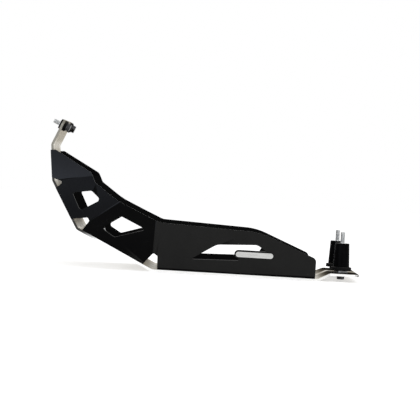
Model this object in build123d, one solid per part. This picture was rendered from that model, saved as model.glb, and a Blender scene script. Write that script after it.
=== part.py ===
from build123d import *
import os
from math import cos, radians, sin, tan

# Motorcycle skid plate: a folded aluminium base plate, two folded side panels and their fixings.
# Axes: +X to the rear of the bike, +Y to its right, +Z up. The level bottom lies on Z = 0.

# Base plate, one strip folded across the bike. Angles are from the forward direction, upwards.
plate_thickness = 4.0
plate_bend_radius = 6.0
rear_tab_length = 51.0
upturn_length = 24.4
upturn_angle = 25.7
bottom_length = 293.0
slope_length = 151.2
slope_angle = 25.9
chin_length = 95.7
chin_angle = 60.0
nose_length = 64.8
nose_angle = 83.4
front_tab_length = 49.2
front_tab_angle = 113.7
plate_corner_radius = 14.0

# Half width over the side walls, at the outer face of the plate. Each flat tapers in by an angle,
# and shoulders on the nose lead to the narrower front tab.
bottom_half_width = 122.0
slope_taper = 2.27
chin_taper = 5.37
nose_taper = 7.9
rear_tab_narrowing = 14.0
chin_half_width = bottom_half_width - slope_length * tan(radians(slope_taper))
nose_half_width = chin_half_width - chin_length * tan(radians(chin_taper))
front_half_width = nose_half_width - nose_length * tan(radians(nose_taper))
rear_tab_half_width = bottom_half_width - rear_tab_narrowing
front_tab_half_width = 80.0
shoulder_foot = 30.0
shoulder_top = 46.0
shoulder_radius = 10.0

# Side panels, folded sheet. Each wall leans out by its flare.
panel_thickness = 3.0
panel_bend_radius = 1.5
fold_radius = 8.0
flange_width = 27.0
wall_clearance = 0.4
bottom_flare = 10.0
slope_flare = 11.8
chin_flare = 12.0
nose_flare = 13.6

# Upper edge of a panel, as (along, above, corner radius) on each flat. The bottom counts from
# its front fold to the rear, the others from their lower fold upwards.
panel_rear_end = bottom_length - 5.6
bottom_edge = [(panel_rear_end, 39.3, 9.0), (187.0, 80.2, 110.0), (10.0, 87.3, 25.0)]
slope_edge = [(67.0, 81.4, 60.0), (slope_length - 42.4, 80.3, 20.0)]
chin_edge = [(21.2, 84.0, 30.0), (chin_length - 37.4, 67.4, 8.0)]
nose_edge = [(10.0, 70.8, 10.0), (nose_length - 10.6, 9.3, 3.0)]
panel_top = nose_length - 10.2

# Windows of the chin and slope walls, as (along, above, corner radius).
chin_window = [(60.9, 22.8, 3.0), (48.2, 55.1, 5.0), (26.6, 62.5, 5.0), (26.6, 20.8, 5.0)]
slope_window = [(113.7, 23.8, 5.0), (92.5, 59.3, 3.0), (43.3, 60.3, 2.0), (85.5, 21.2, 5.0)]

# Slit of the bottom wall, as (along, above, corner radius), and the badge that lies over its end.
slit_edge = [(67.5, 26.2, 1.5), (112.5, 54.4, 20.0), (183.0, 57.7, 14.0)]
slit_rear_tip = (200.0, 46.6, 2.0)
slit_rear_foot = (190.0, 29.2, 6.0)
slit_tongue_foot = (151.0, 28.4, 0.0)
badge_length = 67.5
badge_height = 11.5
badge_thickness = 1.2
badge_bevel = 0.4
badge_along = 178.9
badge_above = 39.8
badge_margin = 1.5

# Relief notches where the folds of a panel meet the plate.
relief_radius = 3.0
nose_relief_start = 6.1
nose_relief_tip = (-3.5, 20.7)
nose_relief_end = 14.3
chin_relief_start = 20.5
chin_relief_top = (9.4, 27.8)
chin_relief_foot = (2.9, 27.9)
chin_relief_end = 9.8
slope_relief_start = 18.9
slope_relief_top = (2.2, 33.1)
slope_relief_foot = (9.4, 28.1)
slope_relief_end = 10.2

# Drain slots and the hole under the oil drain plug.
slot_length = 50.0
slot_width = 10.0
slot_pitch_across = 52.0
bottom_slot_first = 62.0
bottom_slot_pitch = 68.0
bottom_slot_rows = 3
slope_slot_along = 75.0
drain_hole_diameter = 44.0
drain_hole_along = 252.0

# Countersunk screws and flanged nuts along the panel flanges.
screw_diameter = 6.0
screw_head_diameter = 12.0
screw_hole_clearance = 0.4
screw_seat_clearance = 0.1
screw_inset = 15.0
bottom_screw_places = [38.0, 146.0, 254.0]
slope_screw_places = [42.0, 116.0]
nut_across_flats = 10.0
nut_height = 6.0
nut_flange_diameter = 13.5
nut_flange_thickness = 1.5
thread_clearance = 0.1
screw_end = 2.0

# Shoulder bolts, shared by the front and rear mounts.
bolt_shoulder_diameter = 10.0
bolt_thread_diameter = 8.0
bolt_head_flats = 13.0
bolt_head_height = 5.3
bolt_hole_clearance = 1.0
bolt_sleeve_clearance = 0.4
bolt_chamfer = 1.0

# Rear mounts: washer below the tab, bush, rubber pad and tapered spacer above it.
rear_bolt_spacing = 130.0
rear_bolt_from_end = 30.0
rear_washer_diameter = 24.0
rear_washer_thickness = 2.0
rear_bush_height = 4.5
rear_pad_diameter = 37.0
rear_pad_height = 6.5
rear_spacer_foot_diameter = 29.5
rear_spacer_top_diameter = 25.0
rear_spacer_height = 42.0
rear_spacer_chamfer = 1.0
rear_stud_length = 20.0

# Front mounts: rubber washers on both faces of the front tab, bolt heads on the inner side.
front_bolt_spacing = 120.0
front_bolt_along = 39.5
front_washer_diameter = 16.0
front_washer_thickness = 1.6
outer_rubber_diameter = 18.0
outer_rubber_thickness = 4.0
inner_rubber_diameter = 19.0
inner_rubber_thickness = 5.0
rubber_bevel = 1.0
front_pin_length = 12.0

# Space large enough to hold the whole part on one side of a plane.
reach = 1600.0

os.makedirs("parts", exist_ok=True)


class Flat:
    """One flat of the folded plate in side view: start corner, run, and inward normal."""

    def __init__(self, start, length, run, inward):
        self.start = start
        self.length = length
        self.run = run
        self.inward = inward

    def at(self, along, above):
        """Side view point, (x, z), along the flat and above its outer face."""
        x = self.start[0] + along * self.run[0] + above * self.inward[0]
        z = self.start[1] + along * self.run[1] + above * self.inward[1]
        return (x, z)

    def end(self):
        """Corner at the far end of the flat."""
        return self.at(self.length, 0)

    def seat(self, along, across, above=0.0):
        """Plane on the flat, its normal pointing inwards."""
        x, z = self.at(along, above)
        normal = (self.inward[0], 0, self.inward[1])
        return Plane(origin=(x, across, z), x_dir=(self.run[0], 0, self.run[1]), z_dir=normal)


def step(point, length, angle):
    """Point reached from another by going forward and up at an angle."""
    return (point[0] - length * cos(radians(angle)), point[1] + length * sin(radians(angle)))


def climbing(start, length, angle):
    """Flat that runs forward and up from its start."""
    run = (-cos(radians(angle)), sin(radians(angle)))
    return Flat(start, length, run, (sin(radians(angle)), cos(radians(angle))))


# Corners of the strip's outer face, from the rear end to the front edge.
legs = [
    (rear_tab_length, 0.0),
    (upturn_length, -upturn_angle),
    (bottom_length, 0.0),
    (slope_length, slope_angle),
    (chin_length, chin_angle),
    (nose_length, nose_angle),
    (front_tab_length, front_tab_angle),
]
rear_rise = upturn_length * sin(radians(upturn_angle))
corners = [(0.0, rear_rise)]
for leg_length, leg_angle in legs:
    corners.append(step(corners[-1], leg_length, leg_angle))
middle = (min(x for x, z in corners) + max(x for x, z in corners)) / 2
corners = [(x - middle, z) for x, z in corners]
rear_end, upturn_top, bottom_rear, bottom_front, slope_top, chin_top, nose_top, front_end = corners

rear_tab = Flat(upturn_top, rear_tab_length, (1.0, 0.0), (0.0, 1.0))
bottom = Flat(bottom_front, bottom_length, (1.0, 0.0), (0.0, 1.0))
slope = climbing(bottom_front, slope_length, slope_angle)
chin = climbing(slope_top, chin_length, chin_angle)
nose = climbing(chin_top, nose_length, nose_angle)
front_tab = climbing(nose_top, front_tab_length, front_tab_angle)


def inner_corners(depth):
    """Corners of the strip at a depth inside its outer face."""
    angles = [angle for length, angle in legs]
    before = [angles[0]] + angles
    after = angles + [angles[-1]]
    moved = []
    for (x, z), first, second in zip(corners, before, after):
        mean = radians((first + second) / 2)
        stretch = depth / cos(radians((second - first) / 2))
        moved.append((x + stretch * sin(mean), z + stretch * cos(mean)))
    return moved


def side_prism(line, half_width):
    """Solid of a closed side view outline, across the whole bike."""
    return extrude(Plane.XZ * make_face(line), half_width, both=True)


def plate_strip(half_width):
    """The folded strip at full width, with round bends."""
    inner_radius = plate_bend_radius
    outer_radius = plate_bend_radius + plate_thickness
    turns = [second[1] > first[1] for first, second in zip(legs, legs[1:])]
    outer_radii = [outer_radius if upward else inner_radius for upward in turns]
    inner_radii = [inner_radius if upward else outer_radius for upward in turns]
    # Going forward over the rear tab, the first turn is down and the second up.
    outer = FilletPolyline(*corners, radius=outer_radii)
    inside = inner_corners(plate_thickness)
    inner = FilletPolyline(*inside, radius=inner_radii)
    ends = [Line(corners[0], inside[0]), Line(corners[-1], inside[-1])]
    return side_prism(Curve() + [outer, inner] + ends, half_width)


def both_sides(half_outline):
    """Closed outline from points on the right side, mirrored to the left."""
    return half_outline + [(x, -y) for x, y in reversed(half_outline)]


def base_plate():
    """Strip cut to its width in plan and from the front, then pierced."""
    strip = plate_strip(2 * bottom_half_width)
    setback = panel_thickness / cos(radians(nose_flare)) + wall_clearance
    front_x = nose_top[0] - plate_thickness
    plan = both_sides([
        (rear_end[0], rear_tab_half_width),
        (upturn_top[0], rear_tab_half_width),
        (bottom_rear[0], bottom_half_width),
        (bottom_front[0], bottom_half_width),
        (slope_top[0], chin_half_width),
        (front_x, chin_half_width),
    ])
    radii = [plate_corner_radius] + [0] * 10 + [plate_corner_radius]
    low = extrude(make_face(FilletPolyline(*plan, radius=radii, close=True)), slope_top[1])
    shoulder_half_width = nose_half_width - shoulder_foot * tan(radians(nose_taper))
    face_on = both_sides([
        (slope_top[1], chin_half_width - setback),
        (chin_top[1], nose_half_width - setback),
        (nose.at(shoulder_foot, 0)[1], shoulder_half_width - setback),
        (nose.at(shoulder_top, 0)[1], front_tab_half_width),
        (front_end[1] + plate_thickness, front_tab_half_width),
    ])
    half_radii = [0, 0, shoulder_radius, shoulder_radius, plate_corner_radius]
    radii = half_radii + half_radii[::-1]
    outline = FilletPolyline(*[(y, z) for z, y in face_on], radius=radii, close=True)
    high = extrude(Plane.YZ * make_face(outline), reach, both=True)
    plate = (strip & low) + (strip & high)
    for cut in plate_cuts():
        plate -= cut
    return plate


def through(seat, diameter):
    """Round cutter through the plate at a seat on its outer face."""
    return seat * Cylinder(diameter / 2, 4 * plate_thickness)


def plate_cuts():
    """Bolt holes, countersinks, drain slots and the drain plug hole."""
    bolt_hole = bolt_shoulder_diameter + bolt_hole_clearance
    cuts = [through(seat, bolt_hole) for seat in rear_seats() + front_seats()]
    for side in (-1, 1):
        for seat in screw_seats(side):
            cuts.append(through(seat, screw_diameter + screw_hole_clearance))
            cuts.append(seat * countersink(screw_seat_clearance))
    slot = extrude(SlotOverall(slot_length, slot_width), 2 * plate_thickness, both=True)
    for column in (-1, 0, 1):
        across = column * slot_pitch_across
        cuts.append(slope.seat(slope_slot_along, across) * slot)
        for row in range(bottom_slot_rows):
            cuts.append(bottom.seat(bottom_slot_first + row * bottom_slot_pitch, across) * slot)
    cuts.append(through(bottom.seat(drain_hole_along, 0), drain_hole_diameter))
    return cuts


def rear_seats():
    """Bolt places on the underside of the rear tab, left then right."""
    along = rear_tab_length - rear_bolt_from_end
    return [rear_tab.seat(along, side * rear_bolt_spacing / 2) for side in (-1, 1)]


def front_seats():
    """Bolt places on the front face of the front tab, left then right."""
    return [front_tab.seat(front_bolt_along, side * front_bolt_spacing / 2) for side in (-1, 1)]


def screw_seats(side):
    """Screw places along the flanges of one side, on the outer face of the plate."""
    inset = bottom_half_width - screw_inset
    seats = [bottom.seat(along, side * inset) for along in bottom_screw_places]
    taper = tan(radians(slope_taper))
    for along in slope_screw_places:
        seats.append(slope.seat(along, side * (inset - along * taper)))
    return seats


def countersink(clearance):
    """Cone of a countersunk head, widest at the outer face."""
    wide = screw_head_diameter / 2 + clearance
    depth = wide - screw_diameter / 2
    return Pos(0, 0, depth / 2) * Cone(wide, screw_diameter / 2, depth)


def wall_plane(flat, start_half_width, end_half_width, flare):
    """Outer plane of the left wall over a flat, leaning out by the flare."""
    start = Vector(flat.start[0], -start_half_width, flat.start[1])
    end = Vector(flat.end()[0], -end_half_width, flat.end()[1])
    edge = (end - start).normalized()
    lean = radians(flare)
    rise = Vector(flat.inward[0] * cos(lean), -sin(lean), flat.inward[1] * cos(lean))
    normal = edge.cross(rise)
    if normal.Y > 0:
        normal = -normal
    return Plane(origin=start, x_dir=edge, z_dir=normal)


def outer_plane(flat, depth=0.0):
    """Plane of a flat at a depth inside its outer face, its normal pointing outwards."""
    x, z = flat.at(0, depth)
    return Plane(origin=(x, 0, z), x_dir=(0, 1, 0), z_dir=(-flat.inward[0], 0, -flat.inward[1]))


def behind(planes, depth=0.0):
    """Space behind all of the planes, each moved inwards by a depth."""
    blocks = [plane.offset(-depth) * Pos(0, 0, -reach / 2) * Box(reach, reach, reach) for plane in planes]
    space = blocks[0]
    for block in blocks[1:]:
        space = space & block
    return space


def shared_edges(solid, first, second):
    """Straight edges of a solid that lie in two planes."""
    found = ShapeList()
    for edge in solid.edges().filter_by(GeomType.LINE):
        ends = (edge @ 0, edge @ 1)
        if all(abs(plane.to_local_coords(end).Z) < 1e-4 for plane in (first, second) for end in ends):
            found.append(edge)
    return found


bottom_wall = wall_plane(bottom, bottom_half_width, bottom_half_width, bottom_flare)
slope_wall = wall_plane(slope, bottom_half_width, chin_half_width, slope_flare)
chin_wall = wall_plane(chin, chin_half_width, nose_half_width, chin_flare)
nose_wall = wall_plane(nose, nose_half_width, front_half_width, nose_flare)


def on_wall(flat, wall, along, above):
    """Point of a wall's outer face, in the wall's own plane, from its side view place."""
    x, z = flat.at(along, above)
    normal = wall.z_dir
    gap = normal.X * (x - wall.origin.X) + normal.Z * (z - wall.origin.Z)
    local = wall.to_local_coords(Vector(x, wall.origin.Y - gap / normal.Y, z))
    return (local.X, local.Y)


def wall_face(flat, wall, points):
    """Face in a wall's plane from (along, above, corner radius) points."""
    places = [on_wall(flat, wall, along, above) for along, above, radius in points]
    return make_face(FilletPolyline(*places, radius=[radius for a, b, radius in points], close=True))


def wall_cutter(wall, face):
    """Cutter of a window, square to the sheet."""
    return wall * extrude(face, 4 * panel_thickness, both=True)


def panel_outline():
    """Side view prism of a panel's outline above the plate."""
    below = -4 * plate_thickness
    points = [bottom.at(panel_rear_end, below)]
    radii = [0.0]
    for flat, edge in ((bottom, bottom_edge), (slope, slope_edge), (chin, chin_edge), (nose, nose_edge)):
        points += [flat.at(along, above) for along, above, radius in edge]
        radii += [radius for along, above, radius in edge]
    points += [nose.at(panel_top, 2 * below), slope.at(0, 8 * below)]
    radii += [0.0, 0.0]
    return side_prism(FilletPolyline(*points, radius=radii, close=True), reach / 2)


def relief_cutters():
    """Side view prisms of the three relief notches."""
    out = -3 * plate_thickness
    nose_notch = [
        nose.at(nose_relief_start, out),
        nose.at(nose_relief_start, 0),
        nose.at(*nose_relief_tip),
        chin.at(chin_length - nose_relief_end, 0),
        chin.at(chin_length - nose_relief_end, out),
    ]
    chin_notch = [
        chin.at(chin_relief_start, out),
        chin.at(chin_relief_start, 0),
        chin.at(*chin_relief_top),
        chin.at(*chin_relief_foot),
        slope.at(slope_length - chin_relief_end, plate_thickness),
        slope.at(slope_length - chin_relief_end, out),
    ]
    slope_notch = [
        slope.at(slope_relief_start, out),
        slope.at(slope_relief_start, plate_thickness + panel_thickness),
        bottom.at(*slope_relief_top),
        bottom.at(*slope_relief_foot),
        bottom.at(slope_relief_end, 0),
        bottom.at(slope_relief_end, out),
    ]
    cutters = []
    for notch, rounded in ((nose_notch, (2,)), (chin_notch, (2, 3)), (slope_notch, (2, 3))):
        radii = [relief_radius if index in rounded else 0.0 for index in range(len(notch))]
        cutters.append(side_prism(FilletPolyline(*notch, radius=radii, close=True), reach / 2))
    return cutters


def folded_panel():
    """Left panel without its slit: four walls, two flanges, bends and windows."""
    walls = [bottom_wall, slope_wall, chin_wall, nose_wall]
    floors = [outer_plane(bottom, plate_thickness), outer_plane(slope, plate_thickness)]
    sheet = behind(walls + floors) - behind(walls + floors, panel_thickness)
    strip_plan = [
        (rear_end[0], -reach / 2),
        (rear_end[0], flange_width - bottom_half_width),
        (bottom_front[0], flange_width - bottom_half_width),
        (slope_top[0], flange_width - chin_half_width),
        (nose_top[0] - flange_width, 2 * flange_width - front_half_width),
        (nose_top[0] - flange_width, -reach / 2),
    ]
    sheet = sheet & extrude(make_face(Polyline(*strip_plan, close=True)), reach / 2)
    sheet = sheet & panel_outline()
    sheet = sheet & behind([outer_plane(chin), outer_plane(nose)])
    for cutter in relief_cutters():
        sheet -= cutter
    bends = [(bottom_wall, floors[0], panel_bend_radius), (slope_wall, floors[1], panel_bend_radius)]
    bends += [(first, second, fold_radius) for first, second in zip(walls, walls[1:])]
    for first, second, radius in bends:
        sheet = fillet(shared_edges(sheet, first, second), radius + panel_thickness)
        inner_first = first.offset(-panel_thickness)
        inner_second = second.offset(-panel_thickness)
        sheet = fillet(shared_edges(sheet, inner_first, inner_second), radius)
    for flat, wall, window in ((chin, chin_wall, chin_window), (slope, slope_wall, slope_window)):
        sheet -= wall_cutter(wall, wall_face(flat, wall, window))
    for seat in screw_seats(-1):
        sheet -= through(seat, screw_diameter + screw_hole_clearance)
    return sheet


def badge_seat():
    """Plane of the badge on the left bottom wall, with its length level."""
    x, y = on_wall(bottom, bottom_wall, badge_along, badge_above)
    return bottom_wall * Pos(x, y, 0)


def left_panel(sheet):
    """Left panel: the slit ends at a round tongue that backs the badge."""
    rear = (badge_along, badge_above, 0.0)
    front = (slit_tongue_foot[0], badge_above, 0.0)
    slit = wall_face(bottom, bottom_wall, slit_edge + [slit_rear_tip, rear, front, slit_tongue_foot])
    x, y = on_wall(bottom, bottom_wall, badge_along, badge_above)
    tongue = SlotOverall(badge_length + 2 * badge_margin, badge_height + 2 * badge_margin)
    return sheet - wall_cutter(bottom_wall, slit - Pos(x, y) * tongue)


def right_panel(sheet):
    """Right panel: the whole slit, and no badge."""
    slit = wall_face(bottom, bottom_wall, slit_edge + [slit_rear_tip, slit_rear_foot])
    return mirror(sheet - wall_cutter(bottom_wall, slit), Plane.XZ)


def badge_plate():
    """Bare obround badge, glued flat to the left wall."""
    plate = extrude(SlotOverall(badge_length, badge_height), badge_thickness)
    plate = chamfer(plate.faces().sort_by(Axis.Z)[-1].edges(), badge_bevel)
    return badge_seat() * plate


def ring(outer, bore, height):
    """Flat ring that stands on its seat."""
    body = Cylinder(outer / 2, height) - Cylinder(bore / 2, 2 * height)
    return Pos(0, 0, height / 2) * body


def hexagon(flats, height):
    """Hexagon prism that stands on its seat."""
    return extrude(RegularPolygon(flats / 2, 6, major_radius=False), height)


def hex_bolt(grip, thread_length):
    """Bolt with its head below the seat, a plain shoulder through its grip and a threaded end."""
    crown = Pos(0, 0, -bolt_head_height / 2) * Cone(
        bolt_head_flats / 2, bolt_head_flats / 2 + bolt_head_height, bolt_head_height)
    head = Pos(0, 0, -bolt_head_height) * hexagon(bolt_head_flats, bolt_head_height) & crown
    shoulder = extrude(Circle(bolt_shoulder_diameter / 2), grip)
    thread = extrude(Circle(bolt_thread_diameter / 2), grip + thread_length)
    thread = chamfer(thread.faces().sort_by(Axis.Z)[-1].edges(), bolt_chamfer)
    return head + shoulder + thread


def flange_screw():
    """Countersunk screw, flush with the outer face."""
    length = plate_thickness + panel_thickness + nut_height + screw_end
    return countersink(0.0) + extrude(Circle(screw_diameter / 2), length)


def flange_nut():
    """Flanged hexagon nut, seated on the panel flange."""
    body = hexagon(nut_across_flats, nut_height) + extrude(
        Circle(nut_flange_diameter / 2), nut_flange_thickness)
    body -= Cylinder(screw_diameter / 2 + thread_clearance, 4 * nut_height)
    return Pos(0, 0, plate_thickness + panel_thickness) * body


def rubber(diameter, thickness):
    """Rubber ring with bevelled outer edges."""
    body = ring(diameter, bolt_shoulder_diameter + bolt_sleeve_clearance, thickness)
    rims = body.edges().filter_by(GeomType.CIRCLE).group_by(SortBy.RADIUS)[-1]
    return chamfer(rims, rubber_bevel)


def tapered_spacer(bore):
    """Spacer that stands on its wide end, both rims bevelled."""
    foot = rear_spacer_foot_diameter / 2
    top = rear_spacer_top_diameter / 2
    body = chamfer(Cone(foot, top, rear_spacer_height).edges().filter_by(GeomType.CIRCLE), rear_spacer_chamfer)
    return Pos(0, 0, rear_spacer_height / 2) * (body - Cylinder(bore / 2, 2 * rear_spacer_height))


def rear_mount():
    """Pieces of one rear mount, on a seat at the underside of the tab."""
    sleeve = bolt_shoulder_diameter + bolt_sleeve_clearance
    pad_foot = plate_thickness + rear_bush_height
    spacer_foot = pad_foot + rear_pad_height
    grip = rear_washer_thickness + spacer_foot + rear_spacer_height
    return {
        "rear_bolt": Pos(0, 0, -rear_washer_thickness) * hex_bolt(grip, rear_stud_length),
        "rear_washer": Pos(0, 0, -rear_washer_thickness) * ring(
            rear_washer_diameter, sleeve, rear_washer_thickness),
        "rear_bush": Pos(0, 0, plate_thickness) * ring(rear_washer_diameter, sleeve, rear_bush_height),
        "rear_rubber_pad": Pos(0, 0, pad_foot) * rubber(rear_pad_diameter, rear_pad_height),
        "rear_spacer": Pos(0, 0, spacer_foot) * tapered_spacer(sleeve),
    }


def front_mount():
    """Pieces of one front mount, on a seat at the front face of the tab."""
    sleeve = bolt_shoulder_diameter + bolt_sleeve_clearance
    washer_seat = plate_thickness + inner_rubber_thickness
    head_seat = washer_seat + front_washer_thickness
    bolt = Rot(180, 0, 0) * hex_bolt(head_seat + outer_rubber_thickness, front_pin_length)
    return {
        "front_bolt": Pos(0, 0, head_seat) * bolt,
        "front_washer": Pos(0, 0, washer_seat) * ring(
            front_washer_diameter, sleeve, front_washer_thickness),
        "front_outer_rubber": Pos(0, 0, -outer_rubber_thickness) * rubber(
            outer_rubber_diameter, outer_rubber_thickness),
        "front_inner_rubber": Pos(0, 0, plate_thickness) * rubber(
            inner_rubber_diameter, inner_rubber_thickness),
    }


sheet = folded_panel()
pieces = {
    "base_plate": base_plate(),
    "left_side_panel": left_panel(sheet),
    "right_side_panel": right_panel(sheet),
    "badge_plate": badge_plate(),
}
for index, side in enumerate(("left", "right")):
    seats = screw_seats(2 * index - 1)
    pieces[side + "_flange_screws"] = Compound([seat * flange_screw() for seat in seats])
    pieces[side + "_flange_nuts"] = Compound([seat * flange_nut() for seat in seats])
    for name, piece in rear_mount().items():
        pieces[f"{side}_{name}"] = rear_seats()[index] * piece
    for name, piece in front_mount().items():
        pieces[f"{side}_{name}"] = front_seats()[index] * piece

for name, piece in pieces.items():
    export_step(piece, f"parts/{name}.step")
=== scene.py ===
"""Folded skid plate: finishes, turned and threaded fixings, and a plain studio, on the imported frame."""
import bpy
import math
import numpy as np
from mathutils import Matrix, Vector


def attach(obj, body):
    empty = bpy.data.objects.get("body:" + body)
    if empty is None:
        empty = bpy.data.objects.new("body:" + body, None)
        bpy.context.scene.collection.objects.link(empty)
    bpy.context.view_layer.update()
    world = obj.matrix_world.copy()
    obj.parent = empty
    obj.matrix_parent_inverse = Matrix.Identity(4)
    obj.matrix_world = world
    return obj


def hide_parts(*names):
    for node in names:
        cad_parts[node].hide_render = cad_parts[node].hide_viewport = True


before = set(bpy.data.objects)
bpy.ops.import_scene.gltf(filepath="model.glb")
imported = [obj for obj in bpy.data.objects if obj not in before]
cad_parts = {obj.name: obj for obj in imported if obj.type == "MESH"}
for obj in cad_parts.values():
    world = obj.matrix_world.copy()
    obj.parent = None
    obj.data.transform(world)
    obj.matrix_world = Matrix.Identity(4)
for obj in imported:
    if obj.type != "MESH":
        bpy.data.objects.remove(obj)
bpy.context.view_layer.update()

MM = 0.001

# Sizes of pieces are in millimetres and degrees. Places and distances in the finishes are in metres.

# Folded plate in side view: lengths of its flats from the rear, and their angles from forward, upwards.
FLAT_LENGTHS = (51.0, 24.4, 293.0, 151.2, 95.7, 64.8, 49.2)
FLAT_ANGLES = (0.0, -25.7, 0.0, 25.9, 60.0, 83.4, 113.7)
REAR_TAB, BOTTOM, SLOPE, NOSE, FRONT_TAB = 0, 2, 3, 5, 6
PLATE_THICKNESS = 4.0
PANEL_THICKNESS = 3.0
BOTTOM_HALF_WIDTH = 122.0
SLOPE_TAPER = 2.27
BOTTOM_FLARE = 10.0

# Eased cut edges of the sheets, in metres, and the angle from which an edge counts as cut.
PLATE_EDGE = 0.0004
PANEL_EDGE = 0.0007
MERGE_REACH = 0.00001
CUT_EDGE_ANGLE = 50.0

# Angles from which the edges of fixings are sharp.
SHARP_ANGLE = 40.0
FINE_SHARP_ANGLE = 35.0

# Small chamfers, conical crowns and thread form of the fixings. The thread's depth is a share of its pitch.
EASE = 0.25
CROWN_ANGLE = 60.0
THREAD_DEPTH = 0.54
THREAD_SLOPE = 1.25
THREAD_CREST = 0.12
THREAD_RUN_OUT = 0.5

# Countersunk screws.
SCREW_INSET = 15.0
BOTTOM_SCREWS = (38.0, 146.0, 254.0)
SLOPE_SCREWS = (42.0, 116.0)
SCREW_RADIUS = 3.0
SCREW_HEAD_RADIUS = 6.0
SCREW_RIM_HEIGHT = 0.12
SCREW_CONE_INSET = 0.15
SCREW_CONE_START = 0.3
SCREW_LENGTH = 15.0
SCREW_PITCH = 1.0
SCREW_THREAD_GAP = 0.3
SCREW_TIP_LENGTH = 0.4
SCREW_TIP_SHARES = (0.9, 0.72)
SOCKET_FLATS = 4.0
SOCKET_DEPTH = 2.2
SOCKET_POINT = 0.4
SOCKET_POINT_SHARE = 0.9
SOCKET_MOUTH_SHARE = 1.08

# Flanged nuts.
NUT_FLATS = 10.0
NUT_HEIGHT = 6.0
NUT_CROWN_HEIGHT = 0.9
NUT_CROWN_SHARE = 0.95
NUT_CROWN_ROWS = 6
NUT_FLANGE_RADIUS = 6.75
NUT_FLANGE_THICKNESS = 1.5
NUT_FOOT_INSET = 0.3
NUT_FOOT_HEIGHT = 0.2
NUT_RIM_HEIGHT = 0.75
NUT_RIM_TOP = 0.95
NUT_FILLET = 0.3
NUT_FILLET_INSET = 0.4
NUT_FILLET_SHARE = 1.02
NUT_BORE_RADIUS = 3.1
NUT_BORE_CHAMFER = 0.5
NUT_MOUTH_CHAMFER = 0.6

# Shoulder bolts with hexagon heads. Shares are of half the head's width across its flats.
SHOULDER_RADIUS = 5.0
NECK_DEPTH = 0.65
NECK_LENGTH = 1.2
THREAD_RADIUS = 4.0
THREAD_PITCH = 1.25
THREAD_START = 1.3
TIP_DROP = 0.2
TIP_SLOPE = 0.5
TIP_SHARES = (0.93, 0.72)
HEAD_FLATS = 13.0
HEAD_HEIGHT = 5.3
HEAD_DISH_SHARES = (0.55, 0.86)
HEAD_CROWN_HEIGHT = 1.1
HEAD_CROWN_SHARE = 0.94
HEAD_CROWN_ROWS = 7
HEAD_FOOT_HEIGHT = 0.9
HEAD_FOOT_SHARE = 1.06
WASHER_FACE_HEIGHT = 0.45
WASHER_FACE_SHARE = 0.97
SLEEVE_RADIUS = 5.2

# Rear mounts on the rear tab.
REAR_BOLT_SPACING = 130.0
REAR_BOLT_FROM_END = 30.0
REAR_WASHER_RADIUS = 12.0
REAR_WASHER_THICKNESS = 2.0
REAR_BUSH_HEIGHT = 4.5
REAR_PAD_RADIUS = 18.5
REAR_PAD_HEIGHT = 6.5
REAR_SPACER_FOOT_RADIUS = 14.7
REAR_SPACER_TOP_RADIUS = 12.5
REAR_SPACER_HEIGHT = 42.0
REAR_STUD_LENGTH = 20.0

# Front mounts on the front tab.
FRONT_BOLT_SPACING = 120.0
FRONT_BOLT_ALONG = 39.5
FRONT_WASHER_RADIUS = 8.0
FRONT_WASHER_THICKNESS = 1.6
OUTER_RUBBER_RADIUS = 9.0
OUTER_RUBBER_THICKNESS = 4.0
INNER_RUBBER_RADIUS = 9.5
INNER_RUBBER_THICKNESS = 5.0
FRONT_PIN_LENGTH = 12.0

# Squareness of the rings' sections: soft rubbers are low, crisp turned metal is high.
RUBBER_SQUARENESS = 5.0
PAD_SQUARENESS = 6.0
WASHER_SQUARENESS = 9.0
BUSH_SQUARENESS = 14.0
SPACER_SQUARENESS = 30.0

# Badge on the left wall. Its face is crowned a little: shares of its half height, and drops below its top.
BADGE_LENGTH = 67.5
BADGE_HEIGHT = 11.5
BADGE_THICKNESS = 1.2
BADGE_EDGE = 0.4
BADGE_EDGE_RISE = 0.9
BADGE_EDGE_ROWS = 6
BADGE_POLE_SHARE = 0.02
BADGE_CROWN_SHARES = (0.75, 0.4, BADGE_POLE_SHARE)
BADGE_CROWN_DROPS = (0.02, 0.005, 0.0)
BADGE_SPREAD = 2.2
BADGE_ALONG = 178.9
BADGE_ABOVE = 39.8
# Width of the painted shade round the badge's edge.
BADGE_SHADE_WIDTH = 1.0

# Painted highlight on the plate's folds, in place of the reflections in their bends: its reach, the spacing
# of its bands, where they start and how they break up.
FOLD_REACH = (0.003, 0.014)
FOLD_BAND = 0.065
FOLD_BAND_START = 1.86
FOLD_BREAK = 3.0
FOLD_WAVE = (-1.4, 1.4)
FOLD_SHEEN = (0.5, 1.0)

# Painted shade on the rear tab, for the dark reflections and shadows round the pads: how far it spreads round
# a bolt, and how far back it starts.
SHADE_SPREAD = (0.046, 0.072)
SHADE_START = (0.198, 0.222)
PAINTED_PAD_SHADOW_SPREAD = (0.036, 0.058)
PAINTED_PAD_SHADOW_START = (0.213, 0.229)
SHADE_UNEVEN = 0.03
OPEN_FACES = (0.3, 0.7)

# Cut edges of the plate, whose brightness is painted light: how far a face is turned sideways, and the
# heights where the painted highlight turns to painted shade and then to a painted grey.
PLATE_CUT_FACES = (0.35, 0.75)
EDGE_DARKENS = (0.046, 0.064)
EDGE_PALES = (0.19, 0.205)

# Walls of the panels: how their faces are turned, and how the painted bluish reflection on leaning walls
# fades from a fold.
WALL_FACES = (0.85, 0.95)
WALL_OUTSIDE = (-0.02, 0.02)
WALL_PATCHES = (0.85, 1.0)
STRAIGHT_WALLS = (0.03, 0.10)
LEANING_WALLS = (-0.10, 0.10)
REFLECTION_FADES = (0.0, 0.055)
REFLECTION_STRENGTH = (1.0, 0.6)
PANEL_CUT_FACES = (0.6, 0.9)
ABOVE_FLANGES = (0.008, 0.010)

# Blurs of two lines: the edge of the painted shade round the badge, and the end of a bolt's blackened head.
SHADE_LINE_BLUR = 0.0001
HEAD_LINE = (-0.0003, 0.0001)

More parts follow.
